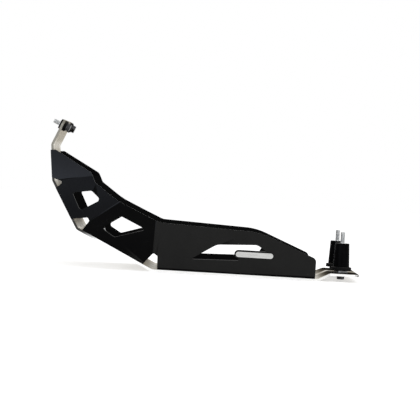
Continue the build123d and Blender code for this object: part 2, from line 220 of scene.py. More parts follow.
# Camera of the photograph, which is 420 pixels square.
FRAME_PIXELS = 420.0
FOCAL_PIXELS = 1886.0
VANISHING_PIXEL = (206.0, 175.0)
ROLL = math.radians(3.4)
EYE = Vector((-0.0014, -3.425, 0.1747))
SENSOR = 36.0

# Studio: the world's light and how bright it looks, the floor's glow where it is seen, and half its side.
WORLD_LIGHT = 0.62
WORLD_SEEN = 1.0
FLOOR_GLOW = 0.52
FLOOR_REACH = 9.0


def colour(red, green, blue):
    """Linear colour with full cover."""
    return (red, green, blue, 1.0)


# Bare sheet, its cut edges, and the painted highlights and shade on it.
SHEET_DULL = colour(0.335, 0.31, 0.262)
SHEET_PALE = colour(0.40, 0.373, 0.32)
SHEET_HANDLED = colour(0.29, 0.262, 0.213)
SHEET_SCRATCHED = colour(0.60, 0.58, 0.54)
# Painted highlight on the plate's folds.
SHEET_FOLD_HIGHLIGHT = colour(0.74, 0.73, 0.705)
SHEET_GLANCING = colour(0.82, 0.785, 0.705)
# Painted shade round the rear pads: brown for dark reflections, near black for the pads' shadow.
PAINTED_SHADE_BROWN = colour(0.13, 0.112, 0.083)
PAINTED_PAD_SHADOW = colour(0.022, 0.020, 0.017)
# Plate's cut edges: a painted highlight low down, painted shade above, a painted grey at the top.
EDGE_PAINTED_HIGHLIGHT = colour(0.78, 0.775, 0.76)
EDGE_PAINTED_SHADE = colour(0.032, 0.031, 0.029)
EDGE_PAINTED_GREY = colour(0.19, 0.18, 0.155)

# Powder coat, the painted sheen and reflection on its walls, its painted edge highlight and its marks.
COAT_DEEP = colour(0.0012, 0.0012, 0.0013)
COAT_PALE = colour(0.0021, 0.0021, 0.0022)
COAT_SPECK = colour(0.0045, 0.0045, 0.005)
# Painted grey sheen and painted bluish reflection on the panels' outer walls.
COAT_PAINTED_SHEEN = colour(0.0176, 0.0174, 0.0169)
COAT_PAINTED_REFLECTION = colour(0.0236, 0.0254, 0.0304)
COAT_SCRATCHED = colour(0.04, 0.04, 0.042)
# Painted highlight on the panels' cut edges.
COAT_RIM_HIGHLIGHT = colour(0.022, 0.0215, 0.021)
COAT_DUSTY = colour(0.10, 0.092, 0.08)

# Badge, rubber and spacer paint.
BADGE_GREY = colour(0.44, 0.44, 0.43)
BADGE_PALE = colour(0.54, 0.54, 0.53)
BADGE_FLECKED = colour(0.38, 0.37, 0.35)
# Painted shade round the badge's edge.
BADGE_EDGE_SHADE = colour(0.014, 0.014, 0.015)
RUBBER_DEEP = colour(0.003, 0.003, 0.0033)
RUBBER_PALE = colour(0.006, 0.006, 0.0063)
RUBBER_DUSTY = colour(0.10, 0.095, 0.085)
PAINT_DEEP = colour(0.0012, 0.0012, 0.0015)
PAINT_PALE = colour(0.0026, 0.0026, 0.003)
PAINT_RUBBED = colour(0.010, 0.010, 0.0105)
PAINT_DUSTY = colour(0.11, 0.10, 0.09)

# Plated and blackened steel. The blackened colours also give the painted shade on the bush under a pad.
ZINC_GREY = colour(0.46, 0.47, 0.48)
ZINC_PALE = colour(0.62, 0.625, 0.62)
ZINC_FLECKED = colour(0.34, 0.335, 0.32)
BLACK_DEEP = colour(0.035, 0.035, 0.037)
BLACK_PALE = colour(0.075, 0.075, 0.077)
BLACK_WORN = colour(0.16, 0.16, 0.16)

# Roughness of each finish, from smooth to dull places, and the depth of the painted shade on the bush under a
# pad.
SHEET_ROUGHNESS = (0.30, 0.40)
COAT_ROUGHNESS = (0.31, 0.35)
BADGE_ROUGHNESS = (0.24, 0.38)
RUBBER_ROUGHNESS = (0.62, 0.78)
PAINT_ROUGHNESS = (0.30, 0.42)
PLATING_ROUGHNESS = (0.24, 0.42)
PAD_SHADE_DEPTH = (0.55, 0.95)

# Studio.
WHITE = colour(1.0, 1.0, 1.0)
FLOOR_PALE = colour(0.8, 0.8, 0.8)


# Places on the folded plate.

def side_view_corners():
    """Corners of the strip's outer face, (x, z) in millimetres: running sums of the flats, centred in x."""
    turn = np.radians(FLAT_ANGLES)
    steps = np.stack([-np.cos(turn), np.sin(turn)], axis=1) * np.array(FLAT_LENGTHS)[:, None]
    corners = np.vstack([np.zeros((1, 2)), np.cumsum(steps, axis=0)])
    corners[:, 1] -= corners[BOTTOM, 1]
    corners[:, 0] -= (corners[:, 0].min() + corners[:, 0].max()) / 2
    return corners


CORNERS = side_view_corners()


class Seat:
    """Place on a flat: its point, the direction along it, and its inward normal."""

    def __init__(self, corner, run_angle, along, across):
        turn = math.radians(run_angle)
        self.run = np.array([-math.cos(turn), 0.0, math.sin(turn)])
        self.up = np.array([math.sin(turn), 0.0, math.cos(turn)])
        self.side = np.cross(self.up, self.run)
        start = np.array([CORNERS[corner, 0], across, CORNERS[corner, 1]])
        self.point = start + along * self.run

    def place(self, points, flip=False):
        """Points given as (along, across, above) in millimetres, moved to the seat, in metres."""
        across, up = (-self.side, -self.up) if flip else (self.side, self.up)
        moved = points[..., :1] * self.run + points[..., 1:2] * across + points[..., 2:] * up
        return (self.point + moved) * MM


def rear_seat(side):
    """Place of one rear bolt, on the rear tab."""
    return Seat(REAR_TAB, FLAT_ANGLES[REAR_TAB], REAR_BOLT_FROM_END, side * REAR_BOLT_SPACING / 2)


def front_seat(side):
    """Place of one front bolt, on the front tab."""
    return Seat(FRONT_TAB, FLAT_ANGLES[FRONT_TAB], FRONT_BOLT_ALONG, side * FRONT_BOLT_SPACING / 2)


def screw_seats(side):
    """Screw places of one side: on the bottom behind the fold, and on the slope in front of it."""
    inset = BOTTOM_HALF_WIDTH - SCREW_INSET
    taper = math.tan(math.radians(SLOPE_TAPER))
    bottom = [Seat(SLOPE, FLAT_ANGLES[BOTTOM], -along, side * inset) for along in BOTTOM_SCREWS]
    slope = [Seat(SLOPE, FLAT_ANGLES[SLOPE], along, side * (inset - along * taper)) for along in SLOPE_SCREWS]
    return bottom + slope


# Meshes from grids of points.

def grid_faces(rows, columns, closed_rows):
    """Quads of a grid that closes round its columns, and round its rows for a ring."""
    first = np.arange(rows if closed_rows else rows - 1)[:, None]
    around = np.arange(columns)[None, :]
    below = first * columns
    above = (first + 1) % rows * columns
    after = (around + 1) % columns
    return np.stack([below + around, below + after, above + after, above + around], axis=-1).reshape(-1, 4)


def solid_of(points, closed_rows=False):
    """Vertices and blocks of faces of a turned grid, (rows, columns, 3). A fan to the middle closes each open
    end."""
    rows, columns, _ = points.shape
    blocks = [grid_faces(rows, columns, closed_rows)]
    vertices = points.reshape(-1, 3)
    if not closed_rows:
        around = np.arange(columns)
        after = (around + 1) % columns
        top = (rows - 1) * columns
        vertices = np.vstack([vertices, points[[0, -1]].mean(axis=1)])
        middle = np.full(columns, rows * columns)
        blocks.append(np.stack([middle, after, around], axis=1))
        blocks.append(np.stack([middle + 1, top + around, top + after], axis=1))
    return vertices, blocks


def joined(solids):
    """One list of vertices and faces from several solids."""
    vertices = np.vstack([points for points, _ in solids])
    faces = []
    start = 0
    for points, blocks in solids:
        for block in blocks:
            faces += (block + start).tolist()
        start += len(points)
    return vertices, faces


def piece(name, solids, material, replaced, sharp=SHARP_ANGLE):
    """Object of one or more solids that stands for a node, smooth apart from edges sharper than an angle."""
    vertices, faces = joined(solids)
    mesh = bpy.data.meshes.new(name)
    mesh.from_pydata(vertices.tolist(), [], faces)
    mesh.shade_smooth()
    mesh.set_sharp_from_angle(angle=math.radians(sharp))
    mesh.materials.append(material)
    made = bpy.data.objects.new(name, mesh)
    bpy.context.scene.collection.objects.link(made)
    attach(made, "root")
    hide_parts(replaced)


# Forms of the fixings, in (along, across, above) of their seat.

def steps_of_turn(count):
    """Angles of one turn in equal steps."""
    return np.arange(count) * 2 * np.pi / count


def turned(rows, columns):
    """Surface of revolution from rows of radius and height: each is a circle, or several where the heights
    are an array. Radii may vary round the circle."""
    turn = steps_of_turn(columns)
    heights = [np.atleast_1d(height) for _, height in rows]
    radius = np.vstack([
        np.broadcast_to(np.reshape(radii, (len(height), -1)), (len(height), columns))
        for (radii, _), height in zip(rows, heights)
    ])
    level = np.broadcast_to(np.concatenate(heights)[:, None], radius.shape)
    return np.stack([radius * np.cos(turn), radius * np.sin(turn), level], axis=-1)


def hexagon_radius(flats, columns):
    """Radius of a hexagon by angle: half its flats over the cosine of the angle from the nearest flat's
    middle."""
    corner = np.pi / 6
    return flats / 2 / np.cos((steps_of_turn(columns) + corner) % (2 * corner) - corner)


def conical_crown(hexagon, top_radius, down):
    """Smaller of a hexagon and a cone, which widens from its top radius by the distance down from the top."""
    cone = top_radius + down * math.tan(math.radians(CROWN_ANGLE))
    return np.minimum(hexagon[None, :], cone[:, None])


def thread_rows(radius, start, end, pitch, columns, samples):
    """Screw surface: the radius falls and rises as a rounded V along the height, one pitch for each turn, and
    the V fades in and out over one pitch."""
    height = np.arange(start, end, pitch / samples)
    turn = np.arange(columns) / columns
    phase = (height[:, None] / pitch - turn[None, :]) % 1
    groove = np.clip(THREAD_SLOPE * np.abs(2 * phase - 1) - THREAD_CREST, 0, 1)
    fade = np.clip(np.minimum(height - start, end - height) / pitch, 0, 1)
    return radius - THREAD_DEPTH * pitch * fade[:, None] * groove, height


def hex_bolt(grip, thread_length, columns=72):
    """Bolt from its dished head to its tip: conical crown, hexagon, washer face, plain shoulder, undercut
    neck, and a thread that narrows to the tip."""
    half = HEAD_FLATS / 2
    hexagon = hexagon_radius(HEAD_FLATS, columns)
    crown_height = np.linspace(-HEAD_HEIGHT, HEAD_CROWN_HEIGHT - HEAD_HEIGHT, HEAD_CROWN_ROWS)
    crown = conical_crown(hexagon, half * HEAD_CROWN_SHARE, crown_height + HEAD_HEIGHT)
    washer_face = half * WASHER_FACE_SHARE
    neck = THREAD_RADIUS - NECK_DEPTH
    end = grip + thread_length
    tip_start = end - THREAD_RUN_OUT
    threads, thread_height = thread_rows(
        THREAD_RADIUS, grip + THREAD_START, tip_start, THREAD_PITCH, columns, samples=10)
    limit = THREAD_RADIUS - TIP_DROP + (end - thread_height) * TIP_SLOPE
    return turned([
        (half * HEAD_DISH_SHARES[0], EASE - HEAD_HEIGHT),
        (half * HEAD_DISH_SHARES[1], -HEAD_HEIGHT),
        (crown, crown_height),
        (hexagon, -HEAD_FOOT_HEIGHT),
        (np.minimum(hexagon, half * HEAD_FOOT_SHARE), -WASHER_FACE_HEIGHT),
        (washer_face, -WASHER_FACE_HEIGHT),
        (washer_face, 0.0),
        (SHOULDER_RADIUS, 0.0),
        (SHOULDER_RADIUS, grip - EASE),
        (SHOULDER_RADIUS - EASE, grip),
        (neck, grip),
        (neck, grip + NECK_LENGTH),
        (np.minimum(threads, limit[:, None]), thread_height),
        (THREAD_RADIUS * TIP_SHARES[0], tip_start),
        (THREAD_RADIUS * TIP_SHARES[1], end),
    ], columns)


def countersunk_screw(columns=48):
    """Countersunk screw from its hexagon socket: floor, socket walls, flush face, cone, thread and tip."""
    socket = hexagon_radius(SOCKET_FLATS, columns)
    cone_end = SCREW_HEAD_RADIUS - SCREW_RADIUS
    thread_end = SCREW_LENGTH - THREAD_RUN_OUT
    threads, thread_height = thread_rows(
        SCREW_RADIUS, cone_end + SCREW_THREAD_GAP, thread_end, SCREW_PITCH, columns, samples=8)
    return turned([
        (socket * SOCKET_POINT_SHARE, SOCKET_DEPTH + SOCKET_POINT),
        (socket, SOCKET_DEPTH),
        (socket, EASE),
        (socket * SOCKET_MOUTH_SHARE, 0.0),
        (SCREW_HEAD_RADIUS - EASE, 0.0),
        (SCREW_HEAD_RADIUS, SCREW_RIM_HEIGHT),
        (SCREW_HEAD_RADIUS - SCREW_CONE_INSET, SCREW_CONE_START),
        (SCREW_RADIUS, cone_end),
        (threads, thread_height),
        (SCREW_RADIUS * SCREW_TIP_SHARES[0], SCREW_LENGTH - SCREW_TIP_LENGTH),
        (SCREW_RADIUS * SCREW_TIP_SHARES[1], SCREW_LENGTH),
    ], columns)


def flange_nut(columns=72):
    """Flanged nut as a closed profile: bore, seat, sloping flange, hexagon with a conical top, bore again."""
    hexagon = hexagon_radius(NUT_FLATS, columns)
    crown_height = np.linspace(NUT_HEIGHT - NUT_CROWN_HEIGHT, NUT_HEIGHT, NUT_CROWN_ROWS)
    crown = conical_crown(hexagon, NUT_FLATS / 2 * NUT_CROWN_SHARE, NUT_HEIGHT - crown_height)
    fillet = np.minimum(hexagon * NUT_FILLET_SHARE, NUT_FLANGE_RADIUS - NUT_FILLET_INSET)
    return turned([
        (NUT_BORE_RADIUS + NUT_BORE_CHAMFER, 0.0),
        (NUT_FLANGE_RADIUS - NUT_FOOT_INSET, 0.0),
        (NUT_FLANGE_RADIUS, NUT_FOOT_HEIGHT),
        (NUT_FLANGE_RADIUS, NUT_RIM_HEIGHT),
        (NUT_FLANGE_RADIUS - EASE, NUT_RIM_TOP),
        (fillet, NUT_FLANGE_THICKNESS),
        (hexagon, NUT_FLANGE_THICKNESS + NUT_FILLET),
        (crown, crown_height),
        (NUT_BORE_RADIUS + NUT_MOUTH_CHAMFER, NUT_HEIGHT),
        (NUT_BORE_RADIUS, NUT_HEIGHT - NUT_BORE_CHAMFER),
        (NUT_BORE_RADIUS, NUT_BORE_CHAMFER),
    ], columns)


def rounded_ring(foot_radius, top_radius, height, squareness, columns=96, rows=56):
    """Ring on a bolt's sleeve whose section is a superellipse: its width and height are powers of cosine and
    sine, so a high squareness gives a sharp washer and a low one a soft, bulged rubber. The outer radius
    tapers to the top."""
    turn = steps_of_turn(rows)
    power = 2 / squareness
    across = np.sign(np.cos(turn)) * np.abs(np.cos(turn)) ** power
    level = (np.sign(np.sin(turn)) * np.abs(np.sin(turn)) ** power + 1) / 2
    outer = foot_radius + (top_radius - foot_radius) * level
    radius = SLEEVE_RADIUS + (across + 1) / 2 * (outer - SLEEVE_RADIUS)
    return turned([(radius, level * height)], columns)


def lifted(points, height):
    """The same points, raised above their seat."""
    return points + np.array([0.0, 0.0, height])


def badge_surface(columns=160):
    """Obround plate: a profile carried round the outline. Each point lies between the middle line and the
    outline, by the profile's share of the half height, at the profile's height above the wall. The spread
    divides the columns between the straight sides and the round ends."""
    straight = (BADGE_LENGTH - BADGE_HEIGHT) / 2
    radius = BADGE_HEIGHT / 2
    turn = steps_of_turn(columns)
    run = np.cos(turn)
    middle = straight * np.clip(BADGE_SPREAD * run, -1, 1)
    past_end = np.where(np.abs(run) > 1 / BADGE_SPREAD, run - np.sign(run) / BADGE_SPREAD, 0.0)
    bow = np.arctan2(np.sin(turn), past_end)
    edge = np.linspace(0, np.pi / 2, BADGE_EDGE_ROWS)
    edge_share = 1 - (1 - np.cos(edge)) * BADGE_EDGE / radius
    edge_rise = BADGE_THICKNESS - BADGE_EDGE + np.sin(edge) * BADGE_EDGE * BADGE_EDGE_RISE
    share = np.concatenate([[BADGE_POLE_SHARE, 1.0], edge_share, BADGE_CROWN_SHARES])
    rise = np.concatenate([[0.0, 0.0], edge_rise, BADGE_THICKNESS - np.array(BADGE_CROWN_DROPS)])
    along = middle + share[:, None] * radius * np.cos(bow)
    above = share[:, None] * radius * np.sin(bow)
    return np.stack([along, above, np.broadcast_to(rise[:, None], along.shape)], axis=-1)


def badge_frame():
    """Middle of the badge on the left wall, in millimetres, and its three directions: along, up the wall and
    out. The wall leans out by its flare."""
    lean = math.radians(BOTTOM_FLARE)
    outside = BOTTOM_HALF_WIDTH + BADGE_ABOVE * math.tan(lean)
    middle = np.array([CORNERS[SLOPE, 0] + BADGE_ALONG, -outside, BADGE_ABOVE])
    along = np.array([1.0, 0.0, 0.0])
    rise = np.array([0.0, -math.sin(lean), math.cos(lean)])
    out = np.array([0.0, -math.cos(lean), -math.sin(lean)])
    return middle, along, rise, out


def place_badge(points):
    """Points of the badge, given as (along, up the wall, out) in millimetres, on the left wall, in metres."""
    middle, along, rise, out = badge_frame()
    return (middle + points[..., :1] * along + points[..., 1:2] * rise + points[..., 2:] * out) * MM


# Shader node helpers.

# Sockets of a Mix node for colours.
MIX_FACTOR, MIX_FIRST, MIX_SECOND, MIX_RESULT = 0, 6, 7, 2


def add(tree, kind, inputs, **settings):
    """Node of a kind, with its settings, and its inputs set to values or linked to sockets."""
    node = tree.nodes.new(kind)
    for key, value in settings.items():
        setattr(node, key, value)
    for key, value in inputs.items():
        if isinstance(value, bpy.types.NodeSocket):
            tree.links.new(value, node.inputs[key])
        else:
            node.inputs[key].default_value = value
    return node


def math_node(tree, operation, *values):
    """Result of an operation on values."""
    return add(tree, "ShaderNodeMath", dict(enumerate(values)), operation=operation).outputs[0]


def combined(tree, operation, values):
    """One value from several, by an operation on two at a time."""
    result, *others = values
    for other in others:
        result = math_node(tree, operation, result, other)
    return result


def times(tree, *values):
    """Product of values."""
    return combined(tree, "MULTIPLY", values)


def remaining(tree, mask):
    """What a mask leaves free."""
    return math_node(tree, "SUBTRACT", 1.0, mask)


def smooth_step(tree, value, low, high):
    """Value from 0 at low to 1 at high, eased."""
    return add(tree, "ShaderNodeMapRange", {"Value": value, "From Min": low, "From Max": high},
               interpolation_type="SMOOTHSTEP").outputs[0]


def between(tree, value, low, high):
    """Value from low, at 0, to high, at 1."""
    return add(tree, "ShaderNodeMapRange", {"Value": value, "To Min": low, "To Max": high}).outputs[0]


def mixed(tree, factor, first, second):
    """Colour between two, by a factor."""
    inputs = {MIX_FACTOR: factor, MIX_FIRST: first, MIX_SECOND: second}
    return add(tree, "ShaderNodeMix", inputs, data_type="RGBA").outputs[MIX_RESULT]


def layered(tree, ground, *layers):
    """Colour of a ground under layers, each a mask and the colour that it lays on."""
    for mask, laid in layers:
        ground = mixed(tree, mask, ground, laid)
    return ground


def vector_node(tree, operation, place, other):
    """Node of an operation on a place and a fixed vector."""
    return add(tree, "ShaderNodeVectorMath", {0: place, 1: tuple(other)}, operation=operation)


def stretched(tree, place, factors):
    """Place multiplied by a factor on each axis."""
    return vector_node(tree, "MULTIPLY", place, factors).outputs[0]


def distance(tree, place, point):
    """Distance of a place from a point."""
    return vector_node(tree, "DISTANCE", place, point).outputs["Value"]


def reach_along(tree, place, direction):
    """How far a place lies along a direction."""
    return vector_node(tree, "DOT_PRODUCT", place, direction).outputs["Value"]


def enlarged(tree, place, factor):
    """Place multiplied by one factor."""
    return add(tree, "ShaderNodeVectorMath", {0: place, "Scale": factor}, operation="SCALE").outputs[0]


def noise(tree, place, scale, detail, roughness):
    """Value of a noise at a place."""
    inputs = {"Vector": place, "Scale": scale, "Detail": detail, "Roughness": roughness}
    return add(tree, "ShaderNodeTexNoise", inputs).outputs[0]


def wander(tree, place, scale, detail, roughness):
    """Value of a noise about 0."""
    noise_middle = 0.5
    return math_node(tree, "SUBTRACT", noise(tree, place, scale, detail, roughness), noise_middle)


# Effects that several finishes share.

VALUE, VECTOR = "NodeSocketFloat", "NodeSocketVector"


def shader_group(name, inputs, outputs):
    """Node group that puts out named values. Gives its tree, what it is given and the sockets it fills."""
    tree = bpy.data.node_groups.new(name, "ShaderNodeTree")
    for socket, kind in inputs.items():
        tree.interface.new_socket(socket, in_out="INPUT", socket_type=kind)
    for socket in outputs:
        tree.interface.new_socket(socket, in_out="OUTPUT", socket_type=VALUE)
    source = tree.nodes.new("NodeGroupInput")
    sink = tree.nodes.new("NodeGroupOutput")
    return tree, source.outputs, sink.inputs


def rolled_grain_group():
    """Fine lines along X with slow streaks between them, as a mill or a brush leaves in sheet: two noises
    drawn out along X, the second also coarse across it."""
    inputs = {"Place": VECTOR, "Fineness": VALUE}
    tree, given, made = shader_group("rolled_grain", inputs, ("Grain", "Streak"))
    fine = enlarged(tree, given["Place"], given["Fineness"])
    line_place = stretched(tree, fine, (0.012, 1.0, 1.0))
    streak_place = stretched(tree, fine, (0.006, 0.09, 0.09))
    lines = noise(tree, line_place, scale=1.0, detail=3.0, roughness=0.7)
    streaks = noise(tree, streak_place, scale=1.0, detail=3.0, roughness=0.6)
    tree.links.new(smooth_step(tree, lines, low=0.25, high=0.75), made["Grain"])
    tree.links.new(smooth_step(tree, streaks, low=0.3, high=0.7), made["Streak"])
    return tree


def mottle_group():
    """Cloudy patches of two sizes, as handling and weather leave on metal and paint."""
    tree, given, made = shader_group("mottle", {"Place": VECTOR, "Size": VALUE}, ("Patch", "Fleck"))
    place = enlarged(tree, given["Place"], math_node(tree, "DIVIDE", 1.0, given["Size"]))
    patches = noise(tree, place, scale=1.0, detail=5.0, roughness=0.6)
    flecks = noise(tree, place, scale=9.0, detail=3.0, roughness=0.7)
    tree.links.new(smooth_step(tree, patches, low=0.3, high=0.72), made["Patch"])
    tree.links.new(smooth_step(tree, flecks, low=0.55, high=0.75), made["Fleck"])
    return tree


def fine_coat_group():
    """Small even bumps, as a fine-textured powder coat or moulded rubber has: rounded cells under a noise."""
    tree, given, made = shader_group("fine_coat", {"Place": VECTOR, "Size": VALUE}, ("Height", "Speck"))
    cell_share = 0.6
    place = enlarged(tree, given["Place"], math_node(tree, "DIVIDE", 1.0, given["Size"]))
    cells = add(tree, "ShaderNodeTexVoronoi", {"Vector": place, "Scale": 1.0}, feature="SMOOTH_F1")
    grains = noise(tree, place, scale=1.6, detail=2.0, roughness=0.5)
    height = math_node(tree, "MULTIPLY_ADD", cells.outputs["Distance"], cell_share, grains)
    tree.links.new(height, made["Height"])
    tree.links.new(smooth_step(tree, grains, low=0.62, high=0.74), made["Speck"])
    return tree


def dust_group():
    """Dust that lies on faces turned up, broken into patches."""
    inputs = {"Place": VECTOR, "Normal": VECTOR, "Amount": VALUE}
    tree, given, made = shader_group("settled_dust", inputs, ("Dust",))
    upward = add(tree, "ShaderNodeSeparateXYZ", {0: given["Normal"]}).outputs["Z"]
    lying = smooth_step(tree, upward, low=0.05, high=0.9)
    patches = noise(tree, given["Place"], scale=34.0, detail=6.0, roughness=0.65)
    broken = smooth_step(tree, patches, low=0.32, high=0.75)
    tree.links.new(times(tree, lying, broken, given["Amount"]), made["Dust"])
    return tree


def hairline_group():
    """Thin straight scratches in a few directions: narrow bands of a noise that is stretched far along each
    direction, each broken into lengths by a coarse noise of its own."""
    tree, given, made = shader_group("hairlines", {"Place": VECTOR, "Amount": VALUE}, ("Scratch",))
    line_width = 0.010
    lines = []
    for turn, scale in ((0.22, 170.0), (-0.16, 230.0), (0.75, 120.0)):
        inputs = {"Vector": given["Place"], "Rotation": (0.0, turn, turn)}
        place = add(tree, "ShaderNodeVectorRotate", inputs, rotation_type="EULER_XYZ").outputs[0]
        band_place = stretched(tree, place, (0.004, 1.0, 1.0))
        length_place = stretched(tree, place, (0.3, 1.0, 1.0))
        band = wander(tree, band_place, scale, detail=0.0, roughness=0.0)
        away = math_node(tree, "ABSOLUTE", band)
        lengths = noise(tree, length_place, scale / 2, detail=1.0, roughness=0.5)
        line = remaining(tree, smooth_step(tree, away, 0.0, line_width))
        lines.append(times(tree, line, smooth_step(tree, lengths, low=0.56, high=0.66)))
    tree.links.new(times(tree, combined(tree, "MAXIMUM", lines), given["Amount"]), made["Scratch"])
    return tree


GRAIN = rolled_grain_group()
MOTTLE = mottle_group()
COAT = fine_coat_group()
DUST = dust_group()
HAIRLINES = hairline_group()


# Finishes.

class Finish:
    """Material under way: its tree, its Principled shader, the object's coordinates and its face normal."""

    def __init__(self, name):
        self.material = bpy.data.materials.new(name)
        self.material.use_nodes = True
        self.tree = self.material.node_tree
        self.shader = self.tree.nodes["Principled BSDF"]
        self.place = self.tree.nodes.new("ShaderNodeTexCoord").outputs["Object"]
        self.normal = self.tree.nodes.new("ShaderNodeNewGeometry").outputs["Normal"]

    def turned_to(self, axis):
        """How far a face is turned along an axis, from -1 to 1."""
        return add(self.tree, "ShaderNodeSeparateXYZ", {0: self.normal}).outputs[axis]

    def facing(self, axis):
        """How far a face is turned along an axis, either way."""
        return math_node(self.tree, "ABSOLUTE", self.turned_to(axis))

    def at(self, axis):
        """Place along an axis, in metres."""
        return add(self.tree, "ShaderNodeSeparateXYZ", {0: self.place}).outputs[axis]

    def above(self, seat):
        """Height of the place above a seat's flat, in metres."""
        level = float(np.dot(seat.point, seat.up)) * MM
        return math_node(self.tree, "SUBTRACT", reach_along(self.tree, self.place, seat.up), level)

    def group(self, tree, **inputs):
        """Outputs of a node group at the object's own coordinates."""
        links = {"Place": self.place}
        links.update((key.capitalize(), value) for key, value in inputs.items())
        return add(self.tree, "ShaderNodeGroup", links, node_tree=tree).outputs

    def dust(self, amount):
        """Mask of dust on faces turned up."""
        return self.group(DUST, normal=self.normal, amount=amount)["Dust"]

    def set(self, **values):
        """Plain values on the shader's own sockets."""
        for key, value in values.items():
            self.shader.inputs[key.replace("_", " ")].default_value = value

    def drive(self, **sockets):
        """Links into the shader's sockets."""
        for key, socket in sockets.items():
            self.tree.links.new(socket, self.shader.inputs[key.replace("_", " ")])

    def bump(self, height, distance, strength):
        """Bump of a height, in metres, into the shader's normal."""
        inputs = {"Height": height, "Distance": distance, "Strength": strength}
        self.tree.links.new(add(self.tree, "ShaderNodeBump", inputs).outputs[0], self.shader.inputs["Normal"])


def painted_fold_highlight(made):
    """Mask of a painted highlight on the plate's folds, in place of the reflections in their bends: the
    distance in side view to the nearest of its corners, faded out, times slow bands, a sine of the distance
    from the middle of the plate, broken up by a noise."""
    tree = made.tree
    side_view = stretched(tree, made.place, (1.0, 0.0, 1.0))
    corners = [distance(tree, side_view, (x, 0.0, z)) for x, z in CORNERS[1:-1] * MM]
    fold = remaining(tree, smooth_step(tree, combined(tree, "MINIMUM", corners), *FOLD_REACH))
    bands = times(tree, made.at("Y"), 2 * math.pi / FOLD_BAND)
    turn = math_node(tree, "ADD", math_node(tree, "ABSOLUTE", bands), FOLD_BAND_START)
    broken = times(tree, wander(tree, made.place, scale=40.0, detail=3.0, roughness=0.6), FOLD_BREAK)
    wave = math_node(tree, "ADD", math_node(tree, "SINE", turn), broken)
    return times(tree, fold, between(tree, smooth_step(tree, wave, *FOLD_WAVE), *FOLD_SHEEN))


def rear_painted_shade(made):
    """Masks of painted shade round the rear pads: a brown one for dark reflections, and a near black one for
    the pads' shadow. Each comes from the distance in plan from the nearer bolt, made uneven by a noise, faded
    out further away for the brown shade, on faces of the rear tab and the upturn that look up or back. The
    distance from the middle of the plate serves both sides."""
    tree = made.tree
    x, y, _ = rear_seat(1).point * MM
    across = math_node(tree, "ABSOLUTE", made.at("Y"))
    plan = add(tree, "ShaderNodeCombineXYZ", {"X": made.at("X"), "Y": across}).outputs[0]
    uneven = times(tree, wander(tree, made.place, scale=45.0, detail=5.0, roughness=0.62), SHADE_UNEVEN)
    away = math_node(tree, "ADD", distance(tree, plan, (x, y, 0.0)), uneven)
    up_or_back = math_node(tree, "MAXIMUM", made.turned_to("Z"), made.turned_to("X"))
    open_face = smooth_step(tree, up_or_back, *OPEN_FACES)
    masks = []
    for spread, start in ((SHADE_SPREAD, SHADE_START), (PAINTED_PAD_SHADOW_SPREAD, PAINTED_PAD_SHADOW_START)):
        ring = remaining(tree, smooth_step(tree, away, *spread))
        masks.append(times(tree, ring, smooth_step(tree, made.at("X"), *start), open_face))
    return masks


def bare_sheet():
    """Mill-finished aluminium: beige-grey with rolled lines, cloudy handling marks and hairlines. Its folds
    carry a painted highlight in bands, and painted shade lies round its rear pads. Its cut edges carry a
    painted highlight low down, painted shade above and a painted grey at the top."""
    made = Finish("bare_sheet_aluminium")
    tree = made.tree
    grain = made.group(GRAIN, fineness=2600.0)
    mottle = made.group(MOTTLE, size=0.045)
    scratch = made.group(HAIRLINES, amount=0.5)["Scratch"]
    handled = times(tree, mottle["Patch"], 0.35)
    # Painted shade round the rear pads: the first mask is a brown shade for dark reflections, which also
    # takes away the metal; the second is the pads' painted shadow.
    rear_shade, dust = rear_painted_shade(made)
    rolled = mixed(tree, grain["Streak"], SHEET_DULL, SHEET_PALE)
    face = layered(tree, rolled, (handled, SHEET_HANDLED), (scratch, SHEET_SCRATCHED),
                   (painted_fold_highlight(made), SHEET_FOLD_HIGHLIGHT), (rear_shade, PAINTED_SHADE_BROWN), (dust, PAINTED_PAD_SHADOW))
    # Painted light on the plate's cut edges by height: a highlight low down, shade above, grey at the top.
    height = made.at("Z")
    edge = layered(tree, EDGE_PAINTED_HIGHLIGHT, (smooth_step(tree, height, *EDGE_DARKENS), EDGE_PAINTED_SHADE),
                   (smooth_step(tree, height, *EDGE_PALES), EDGE_PAINTED_GREY))
    cut = smooth_step(tree, made.facing("Y"), *PLATE_CUT_FACES)
    made.drive(Base_Color=mixed(tree, cut, face, edge), Metallic=remaining(tree, rear_shade))
    made.set(Specular_IOR_Level=0.0, Specular_Tint=SHEET_GLANCING)
    clouded = times(tree, mottle["Patch"], 0.10)
    polished = times(tree, scratch, 0.12)
    rough = math_node(tree, "ADD", between(tree, grain["Grain"], *SHEET_ROUGHNESS), clouded)
    made.drive(Roughness=math_node(tree, "SUBTRACT", rough, polished))
    made.bump(grain["Grain"], distance=0.00006, strength=0.35)
    return made.material


def painted_wall_sheens(made, patch):
    """Masks of two painted sheens on the outer walls of the panels, made uneven by patches: a grey sheen on
    walls that run straight along the plate, and a bluish reflection on walls that lean back, which fades from
    the fold of the nose."""
    tree = made.tree
    outward = times(tree, made.turned_to("Y"), made.at("Y"))
    sideways = smooth_step(tree, made.facing("Y"), *WALL_FACES)
    outside = smooth_step(tree, outward, *WALL_OUTSIDE)
    walls = times(tree, sideways, outside, between(tree, patch, *WALL_PATCHES))
    straight = remaining(tree, smooth_step(tree, made.facing("X"), *STRAIGHT_WALLS))
    leaning = smooth_step(tree, made.turned_to("Z"), *LEANING_WALLS)
    from_fold = math_node(tree, "ABSOLUTE", math_node(tree, "SUBTRACT", made.at("Z"), CORNERS[NOSE, 1] * MM))
    fading = between(tree, smooth_step(tree, from_fold, *REFLECTION_FADES), *REFLECTION_STRENGTH)
    return times(tree, walls, straight), times(tree, walls, leaning, fading)


